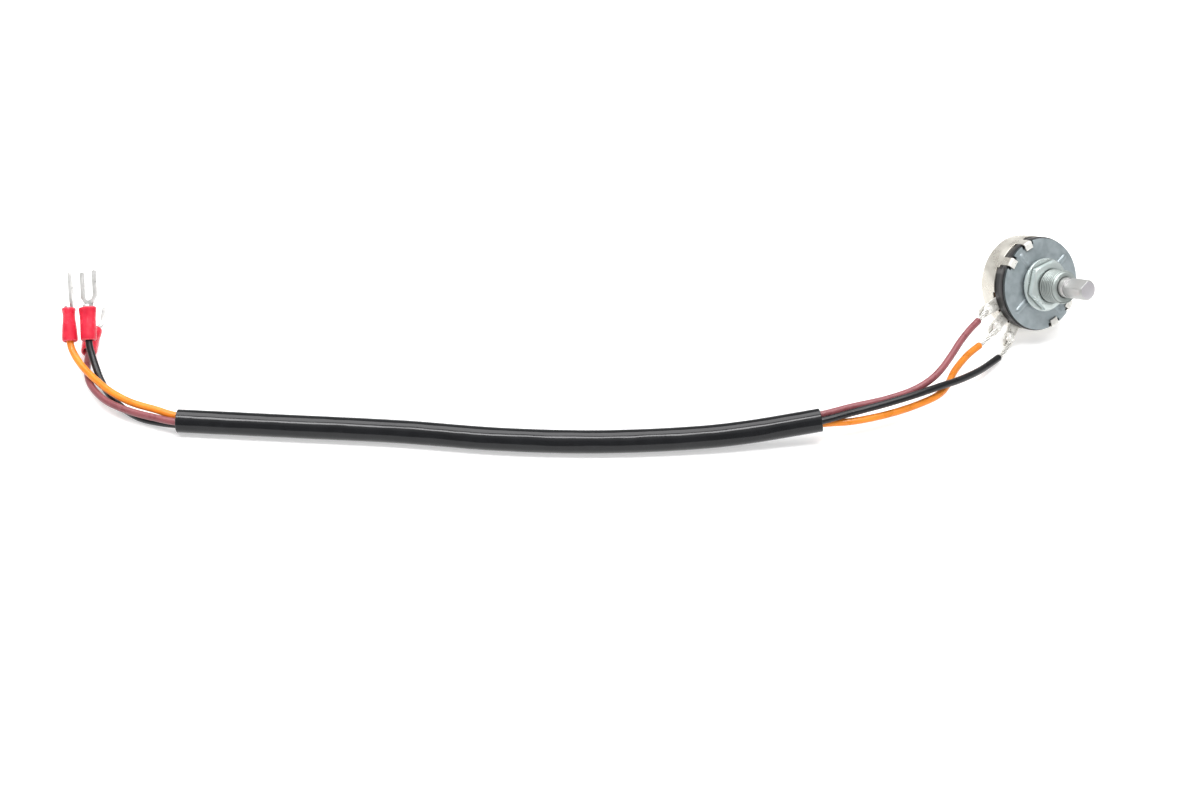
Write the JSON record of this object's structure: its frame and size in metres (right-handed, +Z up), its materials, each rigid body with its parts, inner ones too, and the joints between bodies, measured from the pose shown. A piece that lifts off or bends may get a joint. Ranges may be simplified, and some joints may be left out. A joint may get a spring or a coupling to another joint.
{
  "type": "rotary potentiometer",
  "caption": "Round metal-can panel potentiometer with threaded bushing, nut and flatted shaft, its leads sleeved and ended in insulated fork terminals.",
  "frame": {"origin": "on the surface it rests on, below the middle of the potentiometer without its leads", "axes": "+Z up from the surface; the shaft rises towards +X; the leads run off towards -Y"},
  "size_m": [0.1838, 0.2655, 0.0297],
  "materials": {
    "can_tin": "bright tinned sheet",
    "zinc_plate": "zinc plated",
    "bushing_zinc": "zinc plated, threaded",
    "bright_zinc": "bright zinc plated",
    "shaft_steel": "turned",
    "phenolic": "moulded",
    "card": "pressed laminate",
    "carbon": "carbon film",
    "brass": "stamped",
    "lug_tin": "tinned",
    "solder": "soldered",
    "pvc_maroon": "extruded",
    "pvc_orange": "extruded",
    "pvc_black": "extruded",
    "sleeve_black": "extruded",
    "insulator_red": "moulded",
    "fork_tin": "tin plated"
  },
  "bodies": {
    "housing": {"back_can": "can_tin", "front_plate": "zinc_plate", "bushing": "bushing_zinc", "washer": "bright_zinc", "hex_nut": "bright_zinc", "phenolic_base": "phenolic", "track_card": "card", "resistance_track": "carbon", "collector_ring": "brass", "lug_rivets": "brass", "lug_maroon": "lug_tin", "lug_orange": "lug_tin", "lug_black": "lug_tin", "solder_joints": "solder", "cable_sleeve": "sleeve_black", "maroon_wire": "pvc_maroon", "orange_wire": "pvc_orange", "black_wire": "pvc_black", "maroon_conductor": "solder", "orange_conductor": "solder", "black_conductor": "solder", "fork_maroon": "fork_tin", "fork_orange": "fork_tin", "fork_black": "fork_tin", "insulator_maroon": "insulator_red", "insulator_orange": "insulator_red", "insulator_black": "insulator_red"},
    "rotor": {"shaft": "shaft_steel", "retaining_ring": "bright_zinc", "wiper_carrier": "phenolic", "wiper_spring": "brass", "wiper_brushes": "carbon"}
  },
  "joints": [
    {"name": "shaft_turn", "type": "hinge", "parent": "housing", "child": "rotor", "pos_m": [-0.00198, 0.0035, 0.01719], "axis": [0.891, 0, 0.454], "range_deg": [-150, 150]}
  ]
}
